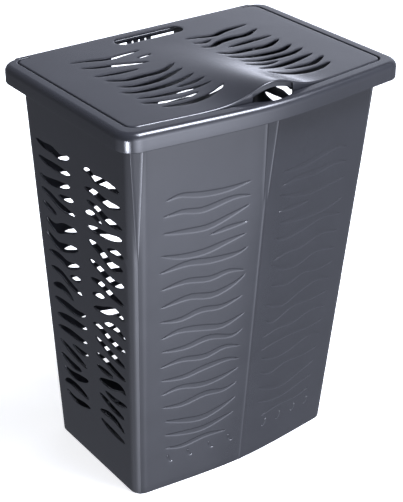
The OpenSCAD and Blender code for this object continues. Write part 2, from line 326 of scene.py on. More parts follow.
def round_rect(x0, x1, z0, z1, r, grow=0.0, n=4):
    x0, x1, z0, z1, r = x0 - grow, x1 + grow, z0 - grow, z1 + grow, r + grow
    out = []
    for cx, cz, a in ((x1 - r, z0 + r, -90), (x1 - r, z1 - r, 0), (x0 + r, z1 - r, 90), (x0 + r, z0 + r, 180)):
        for i in range(n + 1):
            q = math.radians(a + 90 * i / n)
            out.append((cx + r * math.cos(q), cz + r * math.sin(q)))
    return np.array(out)


# side wall slots, (y, z), widths last
SIDE_REAR = [
    ([(114, 483), (95, 480), (72, 481), (55, 477), (31, 485)], 9), ([(112, 459), (90, 457), (60, 458), (31, 459)], 9),
    ([(114, 432), (97, 429), (70, 433), (37, 441)], 9), ([(68, 417), (50, 419), (31, 423)], 7),
    ([(113, 412), (90, 408), (68, 402), (31, 401)], 9), ([(113, 391), (95, 387), (80, 384)], 7),
    ([(110, 367), (85, 361), (60, 371), (30, 378)], 12), ([(114, 346), (85, 335), (65, 339), (31, 350)], 11),
    ([(111, 316), (85, 317), (62, 314), (31, 324)], 10), ([(60, 297), (45, 300), (31, 303)], 7),
    ([(110, 291), (85, 291), (60, 283), (31, 279)], 9), ([(110, 262), (88, 268), (72, 266), (57, 260)], 9),
    ([(110, 241), (85, 242), (50, 243), (28, 250)], 10), ([(107, 215), (85, 219), (50, 224), (28, 228)], 10),
    ([(109, 194), (80, 198), (50, 200), (31, 203)], 9), ([(72, 180), (50, 179), (31, 183)], 7),
    ([(107, 172), (80, 165), (50, 160), (38, 158)], 9), ([(109, 147), (80, 142), (55, 144)], 9),
    ([(104, 126), (80, 124), (56, 130), (38, 136)], 10), ([(107, 100), (92, 106), (68, 106), (42, 103)], 10),
    ([(104, 85), (80, 80), (56, 85), (40, 88)], 8)]
SIDE_FRONT = [
    ([(-2, 482), (-16, 485), (-30, 479), (-52, 482), (-87, 482)], 9), ([(-3, 457), (-28, 458), (-58, 455), (-86, 460)], 9),
    ([(-6, 440), (-28, 437), (-55, 430), (-87, 431)], 9), ([(3, 419), (-15, 424), (-37, 418)], 7),
    ([(-1, 400), (-22, 403), (-52, 407), (-83, 415)], 9), ([(-46, 386), (-67, 390), (-85, 389)], 7),
    ([(0, 379), (-22, 377), (-52, 365), (-80, 370)], 12), ([(2, 350), (-22, 346), (-52, 340), (-79, 346)], 10),
    ([(2, 322), (-22, 323), (-40, 319), (-76, 316)], 9), ([(2, 298), (-14, 302), (-28, 305)], 7),
    ([(2, 277), (-22, 283), (-52, 295), (-74, 292)], 10), ([(-19, 262), (-50, 268), (-73, 262)], 8),
    ([(8, 249), (-10, 249), (-40, 241), (-70, 241)], 9), ([(5, 228), (-16, 223), (-40, 218), (-67, 215)], 9),
    ([(7, 200), (-16, 200), (-40, 195), (-65, 193)], 9), ([(8, 180), (-10, 180), (-33, 181)], 7),
    ([(5, 158), (-22, 164), (-49, 173), (-62, 169)], 12), ([(-8, 145), (-33, 143), (-62, 149)], 8),
    ([(8, 133), (-10, 129), (-28, 125), (-53, 123)], 9), ([(11, 103), (-16, 108), (-33, 106), (-50, 98)], 9),
    ([(11, 88), (-10, 83), (-49, 80)], 8)]
# back wall slots, left column, (x, z); the right column is its mirror
BACK_LEFT = [
    ([(-144, 472), (-110, 468), (-70, 474), (-20, 470)], 9), ([(-144, 450), (-110, 446), (-70, 451), (-22, 447)], 9),
    ([(-144, 431), (-120, 425), (-85, 428), (-50, 421), (-20, 426)], 9), ([(-144, 408), (-120, 402), (-90, 404), (-50, 399), (-20, 404)], 9),
    ([(-143, 387), (-120, 382), (-90, 384), (-55, 388), (-20, 380)], 9), ([(-142, 366), (-118, 360), (-95, 363), (-72, 369), (-45, 362), (-20, 358)], 10),
    ([(-140, 342), (-118, 336), (-95, 334), (-70, 340), (-45, 331), (-18, 336)], 10), ([(-140, 318), (-118, 313), (-95, 310), (-70, 311), (-45, 305), (-20, 310)], 8),
    ([(-142, 291), (-110, 286), (-80, 289), (-48, 274), (-25, 272)], 10), ([(-138, 261), (-110, 256), (-78, 260), (-50, 255), (-24, 250)], 8),
    ([(-136, 240), (-108, 234), (-85, 240), (-60, 238), (-25, 228)], 9), ([(-132, 213), (-105, 208), (-80, 215), (-55, 217), (-22, 208)], 9),
    ([(-130, 193), (-105, 198), (-80, 194), (-50, 199), (-22, 190)], 9), ([(-128, 170), (-95, 167), (-75, 163), (-52, 160), (-22, 166)], 8),
    ([(-126, 150), (-98, 147), (-75, 142), (-45, 146), (-22, 142)], 8), ([(-124, 126), (-95, 124), (-78, 123), (-58, 128), (-24, 122)], 9),
    ([(-120, 103), (-95, 102), (-70, 103), (-45, 106), (-22, 100)], 8), ([(-118, 85), (-90, 83), (-68, 82), (-48, 85), (-24, 80)], 8)]
# lid slots, (x, y)
LID_SLOTS = [
    ([(-143, 100), (-120, 95), (-95, 86), (-70, 88), (-42, 90)], 6), ([(-142, 77), (-125, 69), (-100, 62), (-78, 54), (-56, 47)], 7),
    ([(-62, 66), (-50, 68), (-38, 70)], 4), ([(-143, 42), (-120, 37), (-82, 33)], 6),
    ([(-139, 23), (-117, 10), (-90, 9), (-62, 9), (-34, 22)], 8), ([(-137, -4), (-115, -14), (-80, -13), (-37, 0)], 8),
    ([(-145, -22), (-126, -32), (-95, -35), (-64, -32), (-37, -25)], 8), ([(-78, -48), (-55, -48), (-35, -45)], 6),
    ([(-139, -49), (-117, -56), (-90, -60), (-60, -63), (-38, -64)], 7), ([(-143, -64), (-123, -74), (-95, -80), (-67, -77)], 7),
    ([(-128, -89), (-100, -96), (-75, -96), (-52, -92), (-34, -84)], 8),
    ([(30, 89), (49, 85), (71, 79), (95, 86), (135, 90)], 7), ([(30, 69), (43, 64), (58, 68)], 5),
    ([(28, 50), (43, 45), (61, 53), (85, 57), (108, 56), (135, 67)], 9), ([(58, 29), (92, 32), (134, 34)], 7),
    ([(31, 19), (47, 8), (74, 7), (105, 5), (134, 17)], 9), ([(32, -3), (49, -13), (74, -18), (108, -19), (135, -8)], 9),
    ([(35, -27), (60, -36), (92, -37), (114, -36), (138, -28)], 8), ([(32, -43), (52, -51), (80, -49)], 6),
    ([(35, -66), (60, -66), (92, -61), (135, -52)], 8), ([(67, -79), (92, -81), (114, -80), (141, -67)], 7),
    ([(35, -84), (58, -96), (86, -99), (111, -97), (134, -89)], 9)]
# shallow relief of the front wall, (x, z): the left column, mirrored and shifted a little for the right one
FRONT_LEFT = [
    ([(-146, 470), (-125, 474), (-95, 468), (-60, 466), (-24, 470)], 8), ([(-149, 448), (-120, 450), (-92, 445), (-50, 452), (-22, 449)], 8),
    ([(-148, 424), (-115, 420), (-83, 418), (-50, 427), (-23, 436)], 8), ([(-80, 405), (-55, 409), (-24, 411)], 6),
    ([(-149, 392), (-120, 384), (-86, 382), (-50, 389), (-25, 393)], 9), ([(-150, 366), (-110, 371), (-75, 366), (-38, 366), (-20, 372)], 9),
    ([(-147, 340), (-110, 344), (-75, 338), (-48, 342), (-22, 336)], 8), ([(-146, 312), (-105, 318), (-70, 311), (-40, 318), (-20, 330)], 9),
    ([(-146, 290), (-115, 286), (-85, 292), (-55, 288), (-22, 296)], 8), ([(-143, 262), (-115, 268), (-80, 262), (-50, 256), (-16, 266)], 9),
    ([(-142, 241), (-105, 238), (-70, 243), (-35, 234), (-17, 240)], 8), ([(-142, 215), (-110, 219), (-75, 213), (-45, 219), (-18, 212)], 8),
    ([(-140, 193), (-105, 189), (-75, 194), (-40, 196), (-18, 190)], 8), ([(-138, 168), (-110, 173), (-75, 166), (-45, 168), (-18, 175)], 8),
    ([(-136, 146), (-105, 142), (-70, 148), (-40, 144), (-19, 150)], 8), ([(-131, 121), (-100, 112), (-72, 107), (-45, 113), (-18, 124)], 9),
    ([(-130, 96), (-100, 90), (-70, 87), (-40, 93), (-20, 98)], 8), ([(-128, 72), (-100, 67), (-65, 72), (-30, 68)], 7)]
TICKS_X = [-119, -88, -54, -22, 40, 68, 98, 124]


SLOT_K, LID_K = 1.2, 1.3


def side_holes(left):
    out = []
    for P, T in SIDE_REAR + SIDE_FRONT:
        out.append((lambda g, P=P, T=T: slot_outline(P, T * SLOT_K, g, blunt=0.62, tip=0.2), lambda p, left=left: s_side(p[:, 0], p[:, 1], left)))
    return out


def back_holes():
    out = []
    for P, T in BACK_LEFT:
        for k in (-1, 1):
            Q = [(-k * a, b) for a, b in P]
            out.append((lambda g, Q=Q, T=T: slot_outline(Q, T * SLOT_K, g, blunt=0.62, tip=0.2), lambda p: s_back(p[:, 0], p[:, 1])))
    for x0, x1 in ((-52, -25.6), (-18.4, -15.1), (-7.9, -4.6), (2.6, 5.9), (13.1, 52)):
        out.append((lambda g, a=x0, b=x1: round_rect(a, b, 566.5, 571.0, 0.8, g * 0.4), lambda p: s_back(p[:, 0], p[:, 1])))
    out.append((lambda g: round_rect(-53, 53, 535, 559, 11.9, g, n=9), lambda p: s_back(p[:, 0], p[:, 1])))
    return out


def front_relief():
    out = []
    for P, T in FRONT_LEFT:
        out.append((lambda g, P=P, T=T: slot_outline(P, T, g, n=16), None))
        Q = [(-a * 0.98 + 3, b + 3 * math.sin(a * 0.05)) for a, b in P]
        out.append((lambda g, Q=Q, T=T: slot_outline(Q, T, g, n=16), None))
    for x in TICKS_X:
        k = 1 if x < 0 else -1
        P = [(x - 3 * k, 58), (x - 1.5 * k, 50), (x + 2 * k, 45), (x + 5 * k, 46)]
        out.append((lambda g, P=P: slot_outline(P, 3.6, g, n=8), None))
    return out


# ---------------------------------------------------------------- mesh building
class Mesh:
    def __init__(self):
        self.v = []
        self.f = []

    def add(self, pts):
        i = len(self.v)
        self.v.extend([tuple(p) for p in pts])
        return list(range(i, i + len(pts)))

    def strip(self, a, b, closed=True, flip=False):
        n = len(a)
        for i in range(n if closed else n - 1):
            j = (i + 1) % n
            f = (a[i], a[j], b[j], b[i])
            self.f.append(f[::-1] if flip else f)

    def build(self, name, merge=0.02):
        me = bpy.data.meshes.new(name)
        me.from_pydata([(x / 1000, y / 1000, z / 1000) for x, y, z in self.v], [], self.f)
        bm = bmesh.new()
        bm.from_mesh(me)
        bmesh.ops.remove_doubles(bm, verts=bm.verts, dist=merge / 1000)
        bmesh.ops.dissolve_degenerate(bm, dist=1e-6, edges=bm.edges)
        loose = [v for v in bm.verts if not v.link_faces]
        bmesh.ops.delete(bm, geom=loose, context="VERTS")
        bmesh.ops.recalc_face_normals(bm, faces=bm.faces)
        bm.to_mesh(me)
        bm.free()
        ob = bpy.data.objects.new(name, me)
        bpy.context.scene.collection.objects.link(ob)
        return ob


def in_poly(px, py, poly):
    x, y = poly[:, 0], poly[:, 1]
    x2, y2 = np.roll(x, -1), np.roll(y, -1)
    px = np.atleast_1d(px)[:, None]
    py = np.atleast_1d(py)[:, None]
    cond = (y > py) != (y2 > py)
    with np.errstate(divide="ignore", invalid="ignore"):
        xi = (x2 - x) * (py - y) / (y2 - y) + x
    return (np.count_nonzero(cond & (px < xi), axis=1) % 2) == 1


def near_poly(px, py, poly, dist):
    """True where a point is closer than dist to the outline."""
    a = poly
    b = np.roll(poly, -1, axis=0)
    out = np.zeros(len(px), bool)
    lo, hi = a.min(0) - dist, a.max(0) + dist
    cand = np.where((px > lo[0]) & (px < hi[0]) & (py > lo[1]) & (py < hi[1]))[0]
    if len(cand) == 0:
        return out
    p = np.stack([px[cand], py[cand]], 1)[:, None, :]
    ab = (b - a)[None]
    t = np.clip(((p - a) * ab).sum(2) / np.maximum((ab ** 2).sum(2), 1e-9), 0, 1)
    dd = np.linalg.norm(p - (a + ab * t[..., None]), axis=2).min(1)
    out[cand] = (dd < dist) | in_poly(p[:, 0, 0], p[:, 0, 1], poly)
    return out


def triangulate(boundary, holes, marks, grid, clear=2.6):
    """Constrained triangulation. boundary: closed polygon; holes: closed outlines left open; marks: lists of closed outlines kept as edges.
    Returns points, triangles, and for each hole the ids of its outline, for each mark the ids of its outlines."""
    keep = np.ones(len(grid), bool)
    for h in holes:
        keep &= ~near_poly(grid[:, 0], grid[:, 1], h, clear)
    for m in marks:
        keep &= ~near_poly(grid[:, 0], grid[:, 1], m[0], clear)
    grid = grid[keep]
    pts, edges, ids = [], [], []

    def loop(poly):
        i = len(pts)
        n = len(poly)
        pts.extend(map(tuple, poly))
        edges.extend((i + k, i + (k + 1) % n) for k in range(n))
        return np.arange(i, i + n)
    b_ids = loop(boundary)
    h_ids = [loop(h) for h in holes]
    m_ids = [[loop(o) for o in m] for m in marks]
    owner = np.full(len(pts) + len(grid), -1)
    for k, h in enumerate(h_ids):
        owner[h] = k
    pts.extend(map(tuple, grid))
    vo, eo, fo, ov, oe, of = delaunay_2d_cdt([Vector((float(a), float(b))) for a, b in pts], edges, [], 0, 1e-5, True)
    back = np.full(len(pts), -1)
    for k, src in enumerate(ov):
        for i in src:
            back[i] = k
    first = np.full(len(vo), -1)
    for k, src in enumerate(ov):
        if len(src):
            first[k] = src[0]
    P = np.array([(v.x, v.y) for v in vo])
    T = np.array([f for f in fo if len(f) == 3])
    c = P[T].mean(1)
    ow = np.where(first >= 0, owner[first], -1)
    good = in_poly(c[:, 0], c[:, 1], np.array(boundary)) if len(boundary) > 4 else np.ones(len(T), bool)
    same = (ow[T[:, 0]] >= 0) & (ow[T[:, 0]] == ow[T[:, 1]]) & (ow[T[:, 0]] == ow[T[:, 2]])
    for k in range(len(holes)):
        m = np.where(same & (ow[T[:, 0]] == k))[0]
        if len(m):
            good[m[in_poly(c[m, 0], c[m, 1], holes[k])]] = False
    T = T[good]
    return P, T, back[b_ids], [back[h] for h in h_ids], [[back[o] for o in m] for m in m_ids]


EDGE = 1.0


def wall_sheet(mesh):
    """The wall all round, outside and inside, with its slots and its relief. Returns the four boundary rings of vertex ids."""
    zs = np.linspace(BOTZ, TOPZ, 49)
    # boundary rectangle, with the ring's stations along its bottom and top
    s_all = np.concatenate([S_STA, [PERIM]])
    bottom = [(s, BOTZ) for s in s_all]
    top = [(s, TOPZ) for s in s_all[::-1]]
    right = [(PERIM, z) for z in zs[1:-1]]
    left = [(0.0, z) for z in zs[::-1][1:-1]]
    boundary = np.array(bottom + right + top + left)
    holes_def = side_holes(True) + side_holes(False) + back_holes()
    marks_def = front_relief()

    def to_dom(p, fn):
        return np.stack([fn(p), p[:, 1]], 1)
    holes = [to_dom(o(EDGE), fn) for o, fn in holes_def]
    marks = []
    for o, _ in marks_def:
        lv = []
        for g in (1.3, 0.6, -0.5, -1.3):
            p = o(g)
            lv.append(np.stack([s_front(p[:, 0], p[:, 1]), p[:, 1]], 1))
        marks.append(lv)
    cols = list(S_STA[1:])
    cols += [160 + k for k in (-13, -9, -8.8, -8.4, -7, -5, -3, 3, 5, 7, 8.4, 8.8, 9, 13)]
    cols = sorted(set(round(c, 3) for c in cols))
    gx, gz = np.meshgrid(cols, zs[1:-1])
    grid = np.stack([gx.ravel(), gz.ravel()], 1)
    P, T, b, h, m = triangulate(boundary, holes, marks, grid)
    depth = np.zeros(len(P))
    for lv in m:
        depth[lv[1]] = 0.06
        depth[lv[2]] = 0.26
        depth[lv[3]] = 0.32
    outer = wall_pt(P[:, 0] % PERIM, P[:, 1], depth)
    end = P[:, 0] > PERIM - 1e-6
    zi = np.where(P[:, 1] < 40, 14 + (P[:, 1] - BOTZ) * (26 / (40 - BOTZ)), P[:, 1])
    inner = wall_pt(P[:, 0] % PERIM, zi, WALL)
    io = mesh.add(outer)
    ii = mesh.add(inner)
    for a, bb, c in T:
        mesh.f.append((io[a], io[bb], io[c]))
        mesh.f.append((ii[c], ii[bb], ii[a]))
    # through walls of the slots
    for (o, fn), ids in zip(holes_def, h):
        rings = [[io[k] for k in ids]]
        for g, dd in ((0.3 * EDGE, 0.3 * EDGE), (0.0, EDGE), (0.0, WALL - 0.6), (0.25 * EDGE, WALL - 0.15)):
            p = o(g)
            rings.append(mesh.add(wall_pt(fn(p), p[:, 1], dd)))
        rings.append([ii[k] for k in ids])
        for r0, r1 in zip(rings[:-1], rings[1:]):
            mesh.strip(r0, r1)
    n = len(S_STA)
    bot_o = [io[k] for k in b[:n]]
    bot_i = [ii[k] for k in b[:n]]
    nb = len(s_all)
    nr = len(right)
    top_ids = b[nb + nr: nb + nr + nb][::-1][:n]
    return bot_o, bot_i, [io[k] for k in top_ids], [ii[k] for k in top_ids]


def scoop(x, y):
    """Finger recess in the front of the rim: how far it reaches forward of the seat at x, and how fully it is sunk."""
    if y > -60 or abs(x) >= 31:
        return 0.0, 0.0
    seat = -122 - 18.5 * float(hyper(abs(x) / 182, 0.3)) - 1.8
    return max(seat + 95.9 + math.sqrt(54.9 ** 2 - x * x), 0.0), float(smooth(0, 3.0, 31 - abs(x)))


def make_tub():
    M = Mesh()
    bot_o, bot_i, top_o, top_i = wall_sheet(M)
    # bottom edge, hollow under the floor
    prev = bot_o
    for d, z in ((0.35, 0.35), (1.2, 0.0), (2.2, 0.0), (2.9, 0.5), (3.0, 5.0)):
        r = M.add(np.column_stack([wall_ring(0, d)[:, :2], np.full(NSTA, z)]))
        M.strip(prev, r)
        prev = r
    M.f.append(tuple(prev))
    prev = bot_i
    for d, z in ((2.9, 11.5), (4.4, 9.2), (8.0, 8.0)):
        r = M.add(wall_ring(z, d))
        M.strip(prev, r)
        prev = r
    M.f.append(tuple(prev[::-1]))
    # rim, swept round all but the back
    rings = [top_o]

    def add(pts, push=1.0, drop=0.0, limit=None):
        out = []
        for x, y, z in pts:
            dd, k = scoop(x, y)
            if k > 0:
                y, z = y - dd * push, z - drop * k
                if limit is not None:
                    y = min(y, -122 - 18.5 * float(hyper(abs(x) / 182, 0.3)) - limit - dd)
            out.append((x, y, z))
        rings.append(M.add(out))
    add(seat_ring(571.5, -4.3), drop=2.4)
    add(seat_ring(577.0, -4.3), drop=0.6)
    add(rim_ring(577.5, 10.0), push=0, drop=0.5, limit=4.6)
    add(rim_ring(576.6, 6.0), push=0)
    add(rim_ring(574.6, 3.6), push=0)
    add(rim_ring(571.0, 2.6), push=0)
    for d, z in ((2.5, 557.2), (2.1, 556.35), (1.3, 556.0), (0.45, 556.25), (0.0, 557.1), (0.0, 564.0), (0.0, 570.5)):
        add(rim_ring(z, d), push=0)
    for k in range(1, 11):
        q = math.radians(9 * k)
        add(rim_ring(570.5 + 9.5 * math.sin(q), 8.5 * (1 - math.cos(q))), push=0)
    add(seat_ring(580.0, -3.3))
    add(seat_ring(579.8, -2.6))
    add(seat_ring(579.3, -2.05))
    add(seat_ring(578.6, -1.82))
    add(seat_ring(574.0, -1.8), drop=2.35)
    add(wall_ring(SHELF, WALL), push=0, drop=2.35)
    rings.append(top_i)
    order = list(range(I_BACK1, NSTA)) + list(range(0, I_BACK0 + 1))
    for r0, r1 in zip(rings[:-1], rings[1:]):
        M.strip([r0[i] for i in order], [r1[i] for i in order], closed=False)
    # top of the back wall between the corner blocks
    back = list(range(I_BACK0, I_BACK1 + 1))
    rr = [top_o, M.add(wall_ring(573.4, 0)), M.add(wall_ring(574.0, 0.6)), M.add(wall_ring(574.0, 1.9)), rings[-2], top_i]
    for r0, r1 in zip(rr[:-1], rr[1:]):
        M.strip([r0[i] for i in back], [r1[i] for i in back], closed=False)
    # rail on it, in the gap under the lid
    ids = [M.add([(x, 144.2, 573.8), (x, 144.2, 576.7), (x, 144.5, 577.0), (x, 146.3, 577.0), (x, 146.6, 576.7), (x, 146.6, 573.8)]) for x in np.linspace(-168, 168, 31)]
    for c0, c1 in zip(ids[:-1], ids[1:]):
        M.strip(c0, c1)
    M.f.append(tuple(ids[0]))
    M.f.append(tuple(ids[-1][::-1]))
    # ends of the rim beside the lid's rolled edge
    for i in (I_BACK0, I_BACK1):
        loop = [r[i] for r in rings[:-2]] + [rr[3][i], rr[2][i], rr[1][i]]
        M.f.append(tuple(loop))
    ob = M.build("tub")
    bm = bmesh.new()
    bm.from_mesh(ob.data)
    bmesh.ops.triangulate(bm, faces=[f for f in bm.faces if len(f.verts) > 4])
    bmesh.ops.recalc_face_normals(bm, faces=bm.faces)
    bm.to_mesh(ob.data)
    bm.free()
    return ob


def corner_blocks():
    """The two blocks inside the rim's rear corners, with a round knuckle that lines up with the lid's rolled edge."""
    obs = []
    prof = [(147.6, 566.0), (158.9, 566.0), (159.6, 570.0)]
    prof += [(PIN_Y + 3 * math.cos(math.radians(a)), PIN_Z + 3 * math.sin(math.radians(a))) for a in (-20, 0, 18, 36, 54, 72, 90)]
    prof += [(151.35, 580.0), (151.2, 579.85), (151.2, 574.0), (147.6, 574.0)]
    for s in (-1, 1):
        M = Mesh()
        cy, cz = 154.0, 572.0
        rings = []
        for x, k in ((174.25, 0.96), (174.6, 1.0), (190.0, 1.0), (190.4, 0.96)):
            rings.append(M.add([(s * x, cy + (y - cy) * k, cz + (z - cz) * k) for y, z in prof]))
        for a, b in zip(rings[:-1], rings[1:]):
            M.strip(a, b)
        M.f.append(tuple(rings[0]))
        M.f.append(tuple(rings[-1][::-1]))
        obs.append(M.build("tub_corner_block_" + ("left" if s < 0 else "right")))
    return obs


# ---------------------------------------------------------------- lid
def crest(x, y):
    y = np.asarray(y, float)
    x = np.asarray(x, float)
    return np.where(y < 95, 20.0 * ((95 - np.minimum(y, 95)) / 235.5) ** 2, 0) * np.exp(-(x / 45.0) ** 2)


LF = 72
LID_FT = sorted(set([math.copysign(abs(v) ** 1.2, v) for v in np.linspace(-1, 1, LF + 1)]))
LID_OPEN = 31.0 / 182.0
LID_FT = [t for t in LID_FT if abs(abs(t) - LID_OPEN) > 0.012]
LID_FT = sorted(LID_FT + [-LID_OPEN - 0.003, -LID_OPEN + 0.003, LID_OPEN - 0.003, LID_OPEN + 0.003])
LID_ST = ([(0, t) for t in LID_FT] + [(1, (i + 1) / 8) for i in range(8)] + [(2, (i + 1) / 10) for i in range(10)]
          + [(3, (i + 1) / 9) for i in range(9)] + [(4, i / 20) for i in range(21)] + [(5, i / 9) for i in range(9)]
          + [(6, i / 10) for i in range(10)] + [(7, i / 8) for i in range(8)])


def lid_rows():
    """For each station: the edge profile from the top skin, round the edge, to the underside."""
    rows = []
    for seg, t in LID_ST:
        if seg == 4:
            x = lerp(173.6, -173.6, t)
            prof = [(x, PIN_Y, 580.0)]
            for k in range(1, 11):
                a = math.radians(90 - 245 * k / 10)
                prof.append((x, PIN_Y + 3 * math.cos(a), PIN_Z + 3 * math.sin(a)))
            prof.append((x, 153.0, 577.5))
            rows.append(prof)
            continue

        def pt(d, z):
            x, y = outline_pt(seg, t, 195, -122, 150, 13, 18.5, 0.3, d, xend=174.4)
            return (x, y, z)
        x0, y0, _ = pt(0, 0)
        zt = H + float(crest(x0, y0))
        if seg == 0 and abs(t) < LID_OPEN:
            arc = [math.radians(22.5 * k) for k in range(5)]
            prof = [pt(1.6 * (1 - math.sin(a)), zt - 1.6 * (1 - math.cos(a))) for a in arc]
            prof += [pt(0.1, zt - 1.9), pt(0.35, zt - 2.25), pt(0.7, zt - 2.5), pt(1.2, zt - 2.6), pt(1.7, zt - 2.6), pt(2.4, zt - 2.55), pt(3.4, zt - 2.5)]
        else:
            arc = [math.radians(18 * k) for k in range(6)]
            prof = [pt(2.2 * (1 - math.sin(a)), zt - 2.2 * (1 - math.cos(a))) for a in arc]
            prof += [pt(0.0, 575.0), pt(0.5, 574.4), pt(2.0, 574.4), pt(2.5, 575.0), pt(2.5, zt - 3.4), pt(3.4, zt - 2.5)]
        rows.append(prof)
    return rows


def make_lid():
    M = Mesh()
    rows = lid_rows()
    ring = np.array([r[0] for r in rows])
    boundary = ring[:, :2]
    defs = [(lambda g, P=P, T=T: slot_outline(P, T * LID_K, g, blunt=0.62, tip=0.15)) for P, T in LID_SLOTS]
    defs.append(lambda g: round_rect(-53.5, 53.5, 118.5, 144.5, 12.9, g, n=8))
    e = 1.1
    holes = [d(e) for d in defs]
    xs = list(np.arange(-190, -100, 9.0)) + list(np.arange(-100, 100.1, 4.0)) + list(np.arange(109, 191, 9.0))
    ys = np.arange(-138, 154, 6.0)
    gx, gy = np.meshgrid(xs, ys)
    grid = np.stack([gx.ravel(), gy.ravel()], 1)
    inside = in_poly(grid[:, 0], grid[:, 1], boundary)
    grid = grid[inside]
    a, bb = boundary, np.roll(boundary, -1, axis=0)
    keep = np.ones(len(grid), bool)
    for p0, p1 in zip(a, bb):
        ab = p1 - p0
        t = np.clip(((grid - p0) @ ab) / max(ab @ ab, 1e-9), 0, 1)
        keep &= np.linalg.norm(grid - (p0 + t[:, None] * ab), axis=1) > 3.2
    grid = grid[keep]
    P, T, b, h, _ = triangulate(boundary, holes, [], grid, clear=2.4)
    zt = H + crest(P[:, 0], P[:, 1])
    top = np.column_stack([P, zt])
    under = np.column_stack([P, zt - WALL])
    top[b] = ring
    under[b] = np.array([r[-1] for r in rows])
    it, iu = M.add(top), M.add(under)
    for x, y, z in T:
        M.f.append((it[x], it[y], it[z]))
        M.f.append((iu[z], iu[y], iu[x]))
    for d, ids in zip(defs, h):
        rings = [[it[k] for k in ids]]
        for g, dd in ((0.3 * e, 0.3 * e), (0.0, e), (0.0, WALL - 0.5), (0.25 * e, WALL - 0.12)):
            p = d(g)
            rings.append(M.add(np.column_stack([p, H + crest(p[:, 0], p[:, 1]) - dd])))
        rings.append([iu[k] for k in ids])
        for r0, r1 in zip(rings[:-1], rings[1:]):
            M.strip(r0, r1)
    levels = [[it[k] for k in b]]
    for k in range(1, 11):
        levels.append(M.add([r[k] for r in rows]))
    levels.append([iu[k] for k in b])
    for r0, r1 in zip(levels[:-1], levels[1:]):
        M.strip(r0, r1)
    # flange under the lip of the finger opening
    xs = np.linspace(-30.7, 30.7, 41)
    cols = []
    for x in xs:
        y = -122 - 18.5 * float(hyper(abs(x) / 182, 0.3)) + 2.1
        zt = H + float(crest(x, y))
        zb = zt - 9.0
        cols.append([(x, y, zt - 1.2), (x, y, zb + 0.8), (x, y + 0.3, zb + 0.2), (x, y + 1.1, zb), (x, y + 1.9, zb + 0.2), (x, y + 2.2, zb + 0.8), (x, y + 2.2, zt - 1.4)])
    ids = [M.add(c) for c in cols]
    for c0, c1 in zip(ids[:-1], ids[1:]):
        M.strip(c0, c1)
    M.f.append(tuple(ids[0]))
    M.f.append(tuple(ids[-1][::-1]))
    # rear edge of the lid's skirt, under the skin
    ids = [M.add([(x, 147.6, 577.7), (x, 147.6, 574.9), (x, 148.1, 574.4), (x, 149.3, 574.4), (x, 149.8, 574.9), (x, 149.8, 577.7)]) for x in np.linspace(-172.5, 172.5, 31)]
    for c0, c1 in zip(ids[:-1], ids[1:]):
        M.strip(c0, c1)
    M.f.append(tuple(ids[0]))
    M.f.append(tuple(ids[-1][::-1]))
    ob = M.build("lid", merge=0.01)
    bm = bmesh.new()
    bm.from_mesh(ob.data)
    bmesh.ops.triangulate(bm, faces=[f for f in bm.faces if len(f.verts) > 4])
    bmesh.ops.recalc_face_normals(bm, faces=bm.faces)
    bm.to_mesh(ob.data)
    bm.free()
    return ob


def shade(ob, angle=40):
    me = ob.data
    me.shade_smooth()
    bm = bmesh.new()
    bm.from_mesh(me)
    lim = math.radians(angle)
    for e in bm.edges:
        e.smooth = len(e.link_faces) == 2 and e.calc_face_angle(0) < lim
    bm.to_mesh(me)
    bm.free()
    mod = ob.modifiers.new("weighted", "WEIGHTED_NORMAL")
    mod.mode = "FACE_AREA"
    mod.keep_sharp = True
    mod.weight = 60
    deps = bpy.context.evaluated_depsgraph_get()
    new = bpy.data.meshes.new_from_object(ob.evaluated_get(deps), preserve_all_data_layers=True, depsgraph=deps)
    ob.modifiers.clear()
    ob.data = new
    new.name = ob.name


